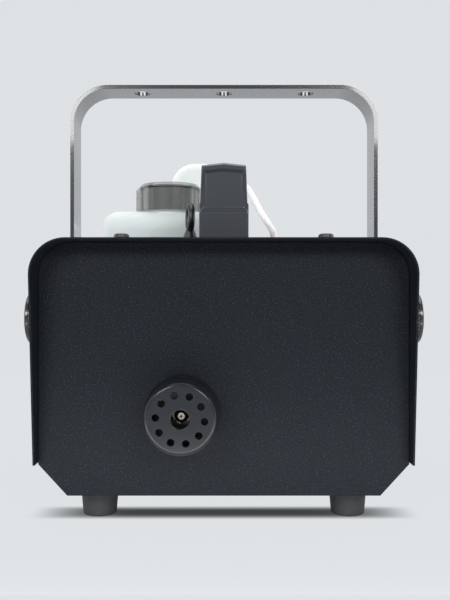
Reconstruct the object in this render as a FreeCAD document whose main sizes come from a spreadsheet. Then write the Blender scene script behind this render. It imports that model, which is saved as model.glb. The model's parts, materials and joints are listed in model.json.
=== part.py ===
import FreeCAD, Part
import math
import os
import re

import Sketcher

# A compact fog machine, in millimetres. Its front faces -Y, +X is to the right
# seen from the front, and the feet stand on Z = 0.

SIZES = [
    ("hood_wide", 240.0, "hood, outside width"),
    ("hood_top", 181.0, "hood, height of its top face"),
    ("hood_round", 22.7, "hood, outside radius of its top corners"),
    ("hood_front", 140.0, "hood, front edge of the top, ahead of the middle"),
    ("hood_back", 150.0, "hood, back edge of the top, behind the middle"),
    ("hood_rake", 11.4, "hood, how far the edges slope back at the bottom"),
    ("hood_low", 38.5, "hood, height of the bottom edges of its sides"),
    ("metal", 1.2, "thickness of the sheet steel"),
    ("fit_gap", 0.3, "clearance between the hood and the case inside it"),
    ("panel_front", 120.0, "front panel's face, ahead of the middle"),
    ("panel_back", 130.0, "rear panel's face, behind the middle"),
    ("base_low", 17.5, "underside of the base, which is the height of the feet"),
    ("slope_wide", 18.5, "sloping lower corner of the case, width"),
    ("slope_high", 20.1, "sloping lower corner of the case, height"),
    ("tray_wall", 22.0, "height of the base tray's side walls"),
    ("flange", 16.0, "depth of the panels' folded flanges"),
    ("foot_top", 25.0, "foot, diameter at the case"),
    ("foot_end", 22.0, "foot, diameter at the floor"),
    ("foot_x", 83.0, "feet, distance from the middle"),
    ("foot_front", 95.0, "front feet, ahead of the middle"),
    ("foot_back", 105.0, "rear feet, behind the middle"),
    ("small_screw", 4.0, "small screws, thread diameter"),
    ("large_screw", 5.0, "large screws, thread diameter"),
    ("washer", 1.0, "thickness of the washers under the hood's top screws"),
    ("screw_gap", 0.4, "screw holes, clearance round the thread"),
    ("screw_x", 66.4, "hood's top screws, distance from the middle"),
    ("screw_in", 8.0, "hood's screws, distance behind a panel's face"),
    ("side_screw_z", 46.8, "hood's side screws, height"),
    ("bar_wide", 30.0, "hanging bracket, width of the flat bar"),
    ("bar_thick", 3.0, "hanging bracket, thickness of the flat bar"),
    ("bar_gap", 0.5, "gap between the hood and the bracket's legs"),
    ("bar_round", 30.0, "hanging bracket, outside radius of its bends"),
    ("bar_top", 315.3, "hanging bracket, height of its top face"),
    ("bar_below", 18.0, "hanging bracket, length of its legs below the pivot"),
    ("pivot_y", 20.0, "bracket's pivot, behind the middle"),
    ("pivot_z", 127.7, "bracket's pivot, height"),
    ("clamp_hole", 13.0, "holes for a lighting clamp, diameter"),
    ("clamp_pitch", 67.0, "holes for a lighting clamp, spacing"),
    ("stud", 6.0, "knob's stud, diameter"),
    ("run_gap", 0.06, "running clearance round a shaft"),
    ("knob_wide", 42.0, "knob, diameter over its ridges"),
    ("knob_deep", 34.5, "knob, depth"),
    ("knob_washer", 1.5, "thickness of the washer under the knob"),
    ("knob_rim", 3.0, "knob, thickness of its smooth rim"),
    ("ridge", 1.1, "knob, height of its ridges"),
    ("nozzle_x", -26.2, "nozzle, sideways place"),
    ("nozzle_z", 70.7, "nozzle, height"),
    ("guard_reach", 30.0, "nozzle guard, how far its face stands out"),
    ("guard_base", 48.0, "nozzle guard, diameter at the panel"),
    ("guard_face", 44.4, "nozzle guard, diameter of its face"),
    ("guard_wall", 2.6, "nozzle guard, thickness of its wall"),
    ("guard_mouth", 11.4, "nozzle guard, diameter of the middle hole"),
    ("guard_throat", 36.0, "nozzle guard, diameter of the opening at the panel"),
    ("guard_pin", 21.0, "nozzle guard, radius of the circle of its screws"),
    ("vent_hole", 4.5, "nozzle guard, diameter of a vent hole"),
    ("vent_circle", 14.8, "nozzle guard, radius of the circle of vent holes"),
    ("handle_base", 33.4, "carry handle, width at its feet"),
    ("handle_crown", 30.0, "carry handle, width at its top"),
    ("handle_high", 54.2, "carry handle, height above the hood"),
    ("handle_front", 95.0, "carry handle, front face ahead of the middle"),
    ("handle_long", 125.0, "carry handle, length"),
    ("handle_leg", 25.0, "carry handle, length of each foot"),
    ("handle_bar", 21.0, "carry handle, height of the grip bar"),
    ("eye_x", -25.0, "safety eye, sideways place"),
    ("eye_y", -45.0, "safety eye, place along the hood"),
    ("eye_ring", 22.0, "safety eye, outside diameter of its ring"),
    ("eye_wire", 5.0, "safety eye, diameter of its wire"),
    ("eye_neck", 13.5, "safety eye, height of its collar over the hood"),
    ("tank_left", -106.0, "tank, left side"),
    ("tank_wide", 121.0, "tank, width"),
    ("tank_front", 37.0, "tank, front side behind the middle"),
    ("tank_deep", 89.0, "tank, depth"),
    ("tank_low", 72.0, "tank, height of its underside"),
    ("tank_top", 219.0, "tank, height of its top"),
    ("tank_round", 16.0, "tank, radius of its corners"),
    ("tank_wall", 2.2, "tank, wall thickness"),
    ("tank_gap", 1.5, "clearance between the tank and the cut-out round it"),
    ("hump_in", 11.0, "tank's raised shoulder, distance in from the right side"),
    ("hump_wide", 53.5, "tank's raised shoulder, width"),
    ("hump_deep", 23.0, "tank's raised shoulder, depth"),
    ("hump_top", 270.5, "tank's raised shoulder, height of its top"),
    ("port_y", 114.5, "tank's outlet port, place behind the middle"),
    ("port_z", 255.0, "tank's outlet port, height"),
    ("neck_x", -48.0, "filler neck, sideways place"),
    ("neck_y", 70.0, "filler neck, place behind the middle"),
    ("neck_wide", 50.0, "filler neck, outside diameter"),
    ("liner", 2.0, "cap liner, thickness"),
    ("cap_wide", 60.0, "filler cap, diameter"),
    ("cap_top", 244.0, "filler cap, height of its top"),
    ("cap_wall", 2.4, "filler cap, thickness of its wall"),
    ("cap_gap", 0.6, "gap between the filler cap and the tank"),
    ("cap_ribs", 14.0, "filler cap, number of grip ribs"),
    ("hose", 6.0, "fluid hose, outside diameter"),
    ("hose_bore", 3.6, "fluid hose, inside diameter"),
    ("gland_x", 44.0, "hose gland, sideways place"),
    ("gland_y", 60.0, "hose gland, place behind the middle"),
    ("gland_high", 12.0, "hose gland, height above the hood"),
    ("tip_front", 136.0, "nozzle tip, ahead of the middle"),
    ("heater_wide", 52.0, "heater block, width"),
    ("heater_high", 40.0, "heater block, height"),
    ("heater_long", 100.0, "heater block, length"),
    ("heater_face", 86.0, "heater block, front face ahead of the middle"),
    ("wrap_thick", 6.0, "heater wrap, thickness"),
    ("pump_tube", 13.0, "pump, outside diameter of its sleeve"),
    ("pump_bore", 10.0, "pump, inside diameter of its sleeve"),
    ("board_left", 33.0, "control board, left edge"),
    ("inlet_x", 78.0, "mains inlet, sideways place"),
    ("inlet_z", 60.0, "mains inlet, height"),
    ("switch_x", 40.0, "power switch, sideways place"),
    ("switch_z", 60.0, "power switch, height"),
    ("remote_x", 40.0, "remote socket, sideways place"),
    ("remote_z", 110.0, "remote socket, height"),
    ("fuse_x", 78.0, "fuse holder, sideways place"),
    ("fuse_z", 110.0, "fuse holder, height"),
    ("pump_x", 62.0, "pump, sideways place"),
    ("pump_y", 72.0, "pump, place behind the middle"),
    ("pump_high", 40.0, "pump, height of its coil"),
    ("pump_z", 92.0, "pump, height of the middle of its coil"),
]

doc = FreeCAD.newDocument("fog_machine")
sheet = doc.addObject("Spreadsheet::Sheet", "Sizes")
for row, (alias, number, note) in enumerate(SIZES, 1):
    sheet.set(f"A{row}", note)
    sheet.set(f"B{row}", str(number))
    sheet.setAlias(f"B{row}", alias)
doc.recompute()

WORD = re.compile(r"\b(" + "|".join(alias for alias, _, _ in SIZES) + r")\b")
XY, XZ, YZ = "XY_Plane", "XZ_Plane", "YZ_Plane"
TURNS = {"x": FreeCAD.Rotation(FreeCAD.Vector(0, 1, 0), 90),
         "y": FreeCAD.Rotation(FreeCAD.Vector(1, 0, 0), -90),
         "z": FreeCAD.Rotation()}
FLAT_TO_ROUND = "1.732"
HEAD_WIDE, HEAD_HIGH, HEAD_ROUND = 2, 0.7, 0.35
SLOT_LONG, SLOT_WIDE, SLOT_DEEP = 1.1, 0.22, 0.5
BEND_SHARE = 0.45
subparts = {}
shared = {}


# ---------------------------------------------------------------- helpers

def formula(text):
    """An expression on the sheet's cells, from one written with their names."""
    return WORD.sub(r"Sizes.\1", str(text))


def number(text):
    """The present value of an expression."""
    return float(sheet.evalExpression(formula(text)))


def bind(item, name, text):
    item.setExpression(name, formula(text))


def place(item, x="0", y="0", z="0"):
    for axis, text in zip("xyz", (x, y, z)):
        bind(item, f"Placement.Base.{axis}", text)
    return item


def keep(name, item):
    """Makes an object one of the sub-parts, under the name of its node."""
    item.Label = name
    subparts[name] = item
    return item


def share(name, *items):
    """Adds solids to a node that several places on the machine share."""
    shared.setdefault(name, []).extend(items)


def body(name):
    return doc.addObject("PartDesign::Body", name)


def sketch_on(owner, plane, offset="0"):
    base = [f for f in owner.Origin.OriginFeatures if f.Role == plane][0]
    sketch = owner.newObject("Sketcher::SketchObject", owner.Name + "_sketch")
    sketch.AttachmentSupport = [(base, "")]
    sketch.MapMode = "FlatFace"
    bind(sketch, "AttachmentOffset.Base.z", offset)
    return sketch


def set_distance(sketch, kind, part, end, text):
    at = sketch.addConstraint(
        Sketcher.Constraint(kind, -1, 1, part, end, number(text)))
    bind(sketch, f"Constraints[{at}]", text)


def draw_circle(sketch, x, y, radius):
    centre = FreeCAD.Vector(number(x), number(y), 0)
    normal = FreeCAD.Vector(0, 0, 1)
    ring = sketch.addGeometry(Part.Circle(centre, normal, number(radius)))
    at = sketch.addConstraint(
        Sketcher.Constraint("Radius", ring, number(radius)))
    bind(sketch, f"Constraints[{at}]", radius)
    set_distance(sketch, "DistanceX", ring, 3, x)
    set_distance(sketch, "DistanceY", ring, 3, y)


def draw_outline(sketch, corners):
    """A closed outline of corners (x, y) or, when rounded, (x, y, radius)."""
    spots = [FreeCAD.Vector(number(c[0]), number(c[1]), 0) for c in corners]
    count = len(corners)
    entry, exit_, arcs = list(spots), list(spots), {}
    for i, corner in enumerate(corners):
        if len(corner) < 3:
            continue
        back = (spots[i - 1] - spots[i]).normalize()
        ahead = (spots[(i + 1) % count] - spots[i]).normalize()
        half = back.getAngle(ahead) / 2
        radius = number(corner[2])
        reach = radius / math.tan(half)
        entry[i] = spots[i] + back * reach
        exit_[i] = spots[i] + ahead * reach
        middle = (back + ahead).normalize() * (radius / math.sin(half) - radius)
        arcs[i] = Part.Arc(entry[i], spots[i] + middle, exit_[i])
    lines = []
    for i in range(count):
        line = Part.LineSegment(exit_[i], entry[(i + 1) % count])
        lines.append(sketch.addGeometry(line))
    for i, line in enumerate(lines):
        step = spots[(i + 1) % count] - spots[i]
        if abs(step.x) < 1e-6:
            sketch.addConstraint(Sketcher.Constraint("Vertical", line))
            set_distance(sketch, "DistanceX", line, 1, corners[i][0])
        elif abs(step.y) < 1e-6:
            sketch.addConstraint(Sketcher.Constraint("Horizontal", line))
            set_distance(sketch, "DistanceY", line, 1, corners[i][1])
    for i, corner in enumerate(corners):
        before, after = lines[i - 1], lines[i]
        if i in arcs:
            arc = sketch.addGeometry(arcs[i])
            starts = (sketch.getPoint(arc, 1) - entry[i]).Length < 1e-6
            first, last = (1, 2) if starts else (2, 1)
            add = sketch.addConstraint
            add(Sketcher.Constraint("Tangent", before, 2, arc, first))
            add(Sketcher.Constraint("Tangent", arc, last, after, 1))
            at = add(Sketcher.Constraint("Radius", arc, number(corner[2])))
            bind(sketch, f"Constraints[{at}]", corner[2])
            continue
        sketch.addConstraint(
            Sketcher.Constraint("Coincident", before, 2, after, 1))
        steps = [spots[i] - spots[i - 1], spots[(i + 1) % count] - spots[i]]
        if not any(abs(step.x) < 1e-6 for step in steps):
            set_distance(sketch, "DistanceX", after, 1, corner[0])
        if not any(abs(step.y) < 1e-6 for step in steps):
            set_distance(sketch, "DistanceY", after, 1, corner[1])


def extrude(owner, plane, low, high, outlines=(), circles=(), cut=False):
    """Pads or pockets outlines and circles from low to high along an axis."""
    flip = plane == XZ
    sketch = sketch_on(owner, plane, f"-({high})" if flip else low)
    for corners in outlines:
        draw_outline(sketch, corners)
    for circle in circles:
        draw_circle(sketch, *circle)
    kind = "PartDesign::Pocket" if cut else "PartDesign::Pad"
    doc.recompute()
    before = owner.Shape.Volume if cut else 0
    feature = owner.newObject(kind, owner.Name + ("_cut" if cut else "_pad"))
    feature.Profile = sketch
    feature.Type = "Length"
    bind(feature, "Length", f"({high}) - ({low})")
    feature.Reversed = cut
    doc.recompute()
    if cut and owner.Shape.Volume > before - 1e-3:
        raise ValueError(f"a pocket in {owner.Name} removes nothing")
    return feature


def revolve(owner, plane, corners):
    """Turns an outline of (radius, height) corners about the upright axis."""
    sketch = sketch_on(owner, plane)
    draw_outline(sketch, corners)
    feature = owner.newObject("PartDesign::Revolution", owner.Name + "_turn")
    feature.Profile = sketch
    feature.ReferenceAxis = (sketch, ["V_Axis"])
    feature.Angle = 360
    doc.recompute()
    return feature


def pattern(owner, feature, axis, count):
    """Repeats a feature round one of the body's own axes."""
    line = [f for f in owner.Origin.OriginFeatures if f.Role == axis][0]
    polar = owner.newObject("PartDesign::PolarPattern", owner.Name + "_polar")
    polar.Originals = [feature]
    polar.Axis = (line, [""])
    polar.Angle = 360
    bind(polar, "Occurrences", count)
    owner.Tip = polar
    doc.recompute()
    return polar


def row_of(owner, feature, axis, length, count):
    """Repeats a feature in a straight row along one of the body's axes."""
    line = [f for f in owner.Origin.OriginFeatures if f.Role == axis][0]
    rows = owner.newObject("PartDesign::LinearPattern", owner.Name + "_row")
    rows.Originals = [feature]
    rows.Direction = (line, [""])
    bind(rows, "Length", length)
    rows.Occurrences = count
    owner.Tip = rows
    doc.recompute()
    return rows


def soften(owner, radius, chosen, kind="Fillet"):
    """Fillets or chamfers the edges of a body that chosen() picks."""
    doc.recompute()
    shape = owner.Shape
    names = [f"Edge{i}" for i, edge in enumerate(shape.Edges, 1) if chosen(edge)]
    if not names:
        raise ValueError(f"no edge of {owner.Name} was chosen")
    last = owner.Tip
    feature = owner.newObject("PartDesign::" + kind, owner.Name + "_" + kind)
    feature.Base = (last, names)
    bind(feature, "Radius" if kind == "Fillet" else "Size", radius)
    doc.recompute()
    return feature


def block(name, size, at):
    """A box with its lowest corner at a place."""
    item = doc.addObject("Part::Box", name)
    for side, text in zip(("Length", "Width", "Height"), size):
        bind(item, side, text)
    return place(item, *at)


def rod(name, diameter, length, at, along="z"):
    """A cylinder that starts at a place and runs along an axis."""
    item = doc.addObject("Part::Cylinder", name)
    bind(item, "Radius", f"({diameter})/2")
    bind(item, "Height", length)
    item.Placement.Rotation = TURNS[along]
    return place(item, *at)


def cone(name, low_diameter, high_diameter, length, at, along="z"):
    item = doc.addObject("Part::Cone", name)
    bind(item, "Radius1", f"({low_diameter})/2")
    bind(item, "Radius2", f"({high_diameter})/2")
    bind(item, "Height", length)
    item.Placement.Rotation = TURNS[along]
    return place(item, *at)


def fuse(name, *items):
    joined = doc.addObject("Part::MultiFuse", name)
    joined.Shapes = list(items)
    joined.Refine = True
    doc.recompute()
    return joined


def group(name, *items):
    """Several separate solids in one node, such as a set of screws."""
    together = doc.addObject("Part::Compound", name)
    together.Links = list(items)
    doc.recompute()
    return together


def cut(name, base, *tools):
    less = doc.addObject("Part::Cut", name)
    less.Base = base
    less.Tool = tools[0] if len(tools) == 1 else fuse(name + "_tools", *tools)
    doc.recompute()
    return less


def common(name, first, second):
    both = doc.addObject("Part::Common", name)
    both.Base = first
    both.Tool = second
    doc.recompute()
    return both


def round_off(name, base, radius, chosen=lambda edge: True):
    """Fillets the edges of a Part object that chosen() picks."""
    doc.recompute()
    picked = [i for i, e in enumerate(base.Shape.Edges, 1) if chosen(e)]
    size = number(radius)
    rounded = doc.addObject("Part::Fillet", name)
    rounded.Base = base
    rounded.Edges = [(i, size, size) for i in picked]
    doc.recompute()
    return rounded


def tube(name, outer, inner, length, at=("0", "0", "0"), along="z"):
    return cut(name, rod(name + "_outside", outer, length, at, along),
               rod(name + "_inside", inner, length, at, along))


def middle(edge):
    return edge.CenterOfMass


def runs_along(edge, axis):
    """True for a straight edge that lies along an axis."""
    if not isinstance(edge.Curve, (Part.Line, Part.LineSegment)):
        return False
    step = edge.Vertexes[-1].Point - edge.Vertexes[0].Point
    return abs(abs(getattr(step, axis)) - step.Length) < 1e-6


def pipe(name, route, outer, inner=0.0):
    """A tube along straight runs joined by tangent arcs, and its radii."""
    points = [FreeCAD.Vector(*p) for p in route]
    edges, start, radii = [], points[0], []
    for before, here, after in zip(points, points[1:], points[2:]):
        back, ahead = before - here, after - here
        turn = math.pi - back.getAngle(ahead)
        shorter = min(back.Length, ahead.Length)
        reach = BEND_SHARE * shorter
        radius = reach / math.tan(turn / 2)
        back.normalize()
        ahead.normalize()
        bow = radius / math.cos(turn / 2) - radius
        first, last = here + back * reach, here + ahead * reach
        crown = here + (back + ahead).normalize() * bow
        edges.append(Part.LineSegment(start, first).toShape())
        edges.append(Part.Arc(first, crown, last).toShape())
        radii.append(round(radius, 1))
        start = last
    edges.append(Part.LineSegment(start, points[-1]).toShape())
    path = Part.Wire(edges)
    heading = (points[1] - points[0]).normalize()

    def swept(diameter):
        ring = Part.Wire(Part.makeCircle(diameter / 2, points[0], heading))
        return path.makePipeShell([ring], True, False)

    solid = swept(outer)
    section = math.pi * outer ** 2 / 4
    if inner:
        solid = solid.cut(swept(inner))
        section -= math.pi * inner ** 2 / 4
    ratio = solid.Volume / (section * path.Length)
    print(f"{name}: length {path.Length:.0f}, radii {radii}, ratio {ratio:.4f}")
    if abs(ratio - 1) > 0.01:
        raise ValueError(f"{name} has the wrong volume")
    item = doc.addObject("Part::Feature", name)
    item.Shape = solid
    return item


def spot(*texts):
    """A place worked out from expressions, as three numbers."""
    return tuple(number(text) for text in texts)


def pan_screw(name, thread, length, at, out):
    """A pan-head cross-recess screw; out is the way its head points."""
    thread = f"({thread})"
    head = rod(name + "_head", f"{HEAD_WIDE}*{thread}", f"{HEAD_HIGH}*{thread}",
               ("0", "0", "0"))
    top = number(f"{HEAD_HIGH}*{thread}")
    domed = round_off(name + "_dome", head, f"{HEAD_ROUND}*{thread}",
                      lambda e: abs(middle(e).z - top) < 1e-6)
    shank = rod(name + "_shank", thread, length, ("0", "0", f"-({length})"))
    long, wide = f"{SLOT_LONG}*{thread}", f"{SLOT_WIDE}*{thread}"
    slots = [block(f"{name}_slot{i}", (a, b, f"{SLOT_DEEP}*{thread}"),
                   (f"-{a}/2", f"-{b}/2", f"{SLOT_DEEP}*{HEAD_HIGH}*{thread}"))
             for i, (a, b) in enumerate([(long, wide), (wide, long)])]
    screw = cut(name, fuse(name + "_blank", domed, shank), *slots)
    screw.Placement.Rotation = FreeCAD.Rotation(FreeCAD.Vector(0, 0, 1),
                                                FreeCAD.Vector(*out))
    return place(screw, *at)


def hexagon(name, across, bore, length, at, along="z"):
    """A nut: across its flats, bore and thickness, from a place along an axis."""
    prism = doc.addObject("Part::Prism", name + "_hexagon")
    prism.Polygon = 6
    bind(prism, "Circumradius", f"({across})/{FLAT_TO_ROUND}")
    bind(prism, "Height", length)
    prism.Placement.Rotation = TURNS[along]
    place(prism, *at)
    return cut(name, prism, rod(name + "_bore", bore, length, at, along))


# ---------------------------------------------------------------- the case

HOOD_HALF = "hood_wide/2"
CASE_HALF = "(hood_wide/2 - metal - fit_gap)"
CASE_TOP = "(hood_top - metal - fit_gap)"
CASE_ROUND = "(hood_round - metal - fit_gap)"
SLOPE_TOP = "(base_low + slope_high)"
TANK_RIGHT = "(tank_left + tank_wide)"
TANK_BACK = "(tank_front + tank_deep)"
FRONT_SCREW_Y = "-(panel_front - screw_in)"
BACK_SCREW_Y = "(panel_back - screw_in)"
TOP_SCREWS = [("-screw_x", FRONT_SCREW_Y), ("screw_x", FRONT_SCREW_Y),
              ("screw_x", BACK_SCREW_Y), ("screw_x/2", BACK_SCREW_Y)]
SIDE_SCREWS_Y = [FRONT_SCREW_Y, BACK_SCREW_Y]
SMALL_HOLE = "(small_screw/2 + screw_gap)"
LARGE_HOLE = "(large_screw/2 + screw_gap)"
HANDLE_SCREWS_Y = ["(-handle_front + handle_leg/2)",
                   "(-handle_front + handle_long - handle_leg/2)"]
HANDLE_SCREWS_X = ["-handle_base/4", "handle_base/4"]


def arch(half, top, radius, thick, foot):
    """The outline of a sheet bent over into an upturned U."""
    inner_half, inner_top = f"({half} - {thick})", f"({top} - {thick})"
    inner_round = f"({radius} - {thick})"
    return [(f"-{half}", foot), (f"-{half}", top, radius),
            (half, top, radius), (half, foot),
            (inner_half, foot), (inner_half, inner_top, inner_round),
            (f"-{inner_half}", inner_top, inner_round),
            (f"-{inner_half}", foot)]


def slot_outline(left, low, wide, high):
    right, top, radius = f"{left} + {wide}", f"{low} + {high}", f"{wide}/2 - 0.01"
    return [(left, low, radius), (left, top, radius),
            (right, top, radius), (right, low, radius)]


def make_hood():
    hood = body("hood")
    extrude(hood, XZ, "-hood_front", "hood_back",
            [arch(HOOD_HALF, "hood_top", "hood_round", "metal", "hood_low")])
    knee = "hood_top - hood_round"
    across = (f"-({HOOD_HALF} + 1)", f"{HOOD_HALF} + 1")
    for side, edge in (("-", "hood_front"), ("", "hood_back")):
        beyond = f"{side}({edge} + 1)"
        foot = f"{side}({edge} - hood_rake)"
        extrude(hood, YZ, *across,
                [[(f"{side}{edge}", knee), (foot, "hood_low"),
                  (foot, "hood_low - 1"), (beyond, "hood_low - 1"),
                  (beyond, knee)]], cut=True)
    left, right = "tank_left - tank_gap", f"{TANK_RIGHT} + tank_gap"
    near, far = "tank_front - tank_gap", f"{TANK_BACK} + tank_gap"
    opening = [(left, near, "tank_round"), (left, far, "tank_round"),
               (right, far, "tank_round"), (right, near, "tank_round")]
    screws = [(x, y, LARGE_HOLE) for x, y in TOP_SCREWS]
    screws += [(x, y, SMALL_HOLE) for x in HANDLE_SCREWS_X for y in HANDLE_SCREWS_Y]
    screws += [("eye_x", "eye_y", LARGE_HOLE),
               ("gland_x", "gland_y", "hose + screw_gap")]
    extrude(hood, XY, "hood_top - hood_round/2", "hood_top + 1",
            [opening], screws, cut=True)
    sides = [(y, "side_screw_z", SMALL_HOLE) for y in SIDE_SCREWS_Y]
    sides.append(("pivot_y", "pivot_z", "stud/2 + screw_gap"))
    extrude(hood, YZ, *across, [], sides, cut=True)
    for start in ("-92", "58"):
        vent = extrude(hood, YZ, *across,
                       [slot_outline(start, "68", "3.2", "34")], cut=True)
        row_of(hood, vent, "Y_Axis", "54", 7)
    keep("hood", hood)


def make_base_tray():
    tray = body("base_tray")
    front, back = "-(panel_front - metal)", "panel_back - metal"
    lean = "metal*0.45"
    flat = f"({CASE_HALF} - slope_wide)"
    low, step = "base_low", "(base_low + metal)"
    inside = f"({CASE_HALF} - metal)"
    floor = [(f"-{CASE_HALF}", SLOPE_TOP), (f"-{flat}", low), (flat, low),
             (CASE_HALF, SLOPE_TOP), (inside, f"{SLOPE_TOP} + {lean}"),
             (f"{flat} - {lean}", step), (f"-({flat} - {lean})", step),
             (f"-{inside}", f"{SLOPE_TOP} + {lean}")]
    extrude(tray, XZ, front, back, [floor])
    wall_top = f"{SLOPE_TOP} + tray_wall"
    walls = [[(f"{side}{CASE_HALF}", SLOPE_TOP),
              (f"{side}{CASE_HALF}", wall_top),
              (f"{side}{inside}", wall_top),
              (f"{side}{inside}", SLOPE_TOP)] for side in ("-", "")]
    extrude(tray, XZ, "-(panel_front - flange - fit_gap)",
            "panel_back - flange - fit_gap", walls)
    feet = [(f"{side}foot_x", y, SMALL_HOLE) for side in ("-", "")
            for y in ("-foot_front", "foot_back")]
    extrude(tray, XY, "base_low - 1", "base_low + metal + 1", [], feet, cut=True)
    vent = extrude(tray, XY, "base_low - 1", "base_low + metal + 1",
                   [slot_outline("-60", "-60", "4", "70")], cut=True)
    row_of(tray, vent, "X_Axis", "80", 6)
    keep("base_tray", tray)


def panel_outline():
    return [(f"-{CASE_HALF}", SLOPE_TOP),
            (f"-{CASE_HALF}", CASE_TOP, CASE_ROUND),
            (CASE_HALF, CASE_TOP, CASE_ROUND), (CASE_HALF, SLOPE_TOP),
            (f"{CASE_HALF} - slope_wide", "base_low"),
            (f"-({CASE_HALF} - slope_wide)", "base_low")]


def make_front_panel():
    panel = body("front_panel")
    face, behind = "-panel_front", "-panel_front + metal"
    extrude(panel, XZ, face, behind, [panel_outline()])
    extrude(panel, XZ, face, "-panel_front + flange",
            [arch(CASE_HALF, CASE_TOP, CASE_ROUND, "metal", f"{SLOPE_TOP} + metal")])
    fixings = [(f"nozzle_x + {x:.3f}*guard_pin", f"nozzle_z + {z:.3f}*guard_pin",
                SMALL_HOLE) for x, z in guard_pin_places()]
    extrude(panel, XZ, "-panel_front - 1", "-panel_front + metal + 1", [],
            [("nozzle_x", "nozzle_z", "guard_throat/2")] + fixings, cut=True)
    extrude(panel, YZ, f"-({HOOD_HALF})", HOOD_HALF, [],
            [(FRONT_SCREW_Y, "side_screw_z", SMALL_HOLE)], cut=True)
    extrude(panel, XY, f"{CASE_TOP} - metal - 1", f"{CASE_TOP} + 1", [],
            [(x, y, LARGE_HOLE) for x, y in TOP_SCREWS[:2]], cut=True)
    keep("front_panel", panel)


def guard_pin_places():
    """Unit places of the three screws that hold the nozzle guard."""
    return [(math.sin(math.radians(a)), math.cos(math.radians(a)))
            for a in (0, 120, 240)]


def make_rear_panel():
    panel = body("rear_panel")
    extrude(panel, XZ, "panel_back - metal", "panel_back", [panel_outline()])
    side_low, side_top = f"({SLOPE_TOP} + metal)", f"({CASE_TOP} - {CASE_ROUND})"
    inner = f"({CASE_HALF} - metal)"
    flanges = [[(f"{side}{CASE_HALF}", side_low), (f"{side}{CASE_HALF}", side_top),
                (f"{side}{inner}", side_top), (f"{side}{inner}", side_low)]
               for side in ("-", "")]
    left, right = f"{TANK_RIGHT} + tank_gap + 2", f"{CASE_HALF} - {CASE_ROUND}"
    flanges.append([(left, f"{CASE_TOP} - metal"), (left, CASE_TOP),
                    (right, CASE_TOP), (right, f"{CASE_TOP} - metal")])
    extrude(panel, XZ, "panel_back - flange", "panel_back", flanges)
    inlet = [("inlet_x - 14", "inlet_z - 10"), ("inlet_x - 14", "inlet_z + 10"),
             ("inlet_x + 14", "inlet_z + 10"), ("inlet_x + 14", "inlet_z - 10")]
    switch = [("switch_x - 6.8", "switch_z - 10"), ("switch_x - 6.8", "switch_z + 10"),
              ("switch_x + 6.8", "switch_z + 10"), ("switch_x + 6.8", "switch_z - 10")]
    rounds = [("fuse_x", "fuse_z", "6.2"), ("remote_x", "remote_z", "10.2")]
    rounds += [(f"inlet_x + {x}", "inlet_z", "1.9") for x in (-20, 20)]
    rounds += [(f"remote_x + {x}", f"remote_z + {z}", "1.9")
               for x, z in ((-10, 12.5), (10, -12.5))]
    extrude(panel, XZ, "panel_back - metal - 1", "panel_back + 1",
            [inlet, switch], rounds, cut=True)
    vent = extrude(panel, XZ, "panel_back - metal - 1", "panel_back + 1",
                   [slot_outline("-92", "34", "4", "26")], cut=True)
    row_of(panel, vent, "X_Axis", "90", 10)
    extrude(panel, YZ, f"-({HOOD_HALF})", HOOD_HALF, [],
            [(BACK_SCREW_Y, "side_screw_z", SMALL_HOLE)], cut=True)
    extrude(panel, XY, f"{CASE_TOP} - metal - 1", f"{CASE_TOP} + 1", [],
            [(x, y, LARGE_HOLE) for x, y in TOP_SCREWS[2:]], cut=True)
    keep("rear_panel", panel)


def make_case_screws():
    tops = [pan_screw(f"top_screw{i}", "large_screw", "8 + washer",
                      (x, y, "hood_top + washer"), (0, 0, 1))
            for i, (x, y) in enumerate(TOP_SCREWS)]
    keep("hood_top_screws", group("hood_top_screws", *tops))
    washers = [tube(f"top_washer{i}", "2*large_screw + 1", "large_screw + screw_gap",
                    "washer", (x, y, "hood_top"))
               for i, (x, y) in enumerate(TOP_SCREWS)]
    share("flat_washers", *washers)
    sides = [pan_screw(f"side_screw{i}{name}", "small_screw", "8",
                       (f"{sign}{HOOD_HALF}", y, "side_screw_z"), (way, 0, 0))
             for i, y in enumerate(SIDE_SCREWS_Y)
             for name, sign, way in (("l", "-", -1), ("r", "", 1))]
    share("small_screws", *sides)


def make_feet():
    for end, y in (("front", "-foot_front"), ("rear", "foot_back")):
        for name, sign in (("left", "-"), ("right", "")):
            foot = body(f"foot_{end}_{name}")
            revolve(foot, XZ, [("small_screw", "0"), ("foot_end/2", "0", "1.2"),
                               ("foot_top/2", "base_low"),
                               (SMALL_HOLE, "base_low"), (SMALL_HOLE, "5"),
                               ("small_screw", "5")])
            place(foot, f"{sign}foot_x", y)
            keep(f"foot_{end}_{name}", foot)
    spots = [(f"{sign}foot_x", y) for sign in ("-", "")
             for y in ("-foot_front", "foot_back")]
    screws = [pan_screw(f"foot_screw{i}", "small_screw", "base_low + metal",
                        (x, y, "5"), (0, 0, -1)) for i, (x, y) in enumerate(spots)]
    share("small_screws", *screws)
    nuts = [hexagon(f"foot_nut{i}", "7", "small_screw + 2*run_gap", "3.2",
                    (x, y, "base_low + metal")) for i, (x, y) in enumerate(spots)]
    share("hex_nuts", *nuts)


# ---------------------------------------------------------------- bracket and knobs

BAR_HALF = "(hood_wide/2 + bar_gap + bar_thick)"


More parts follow.
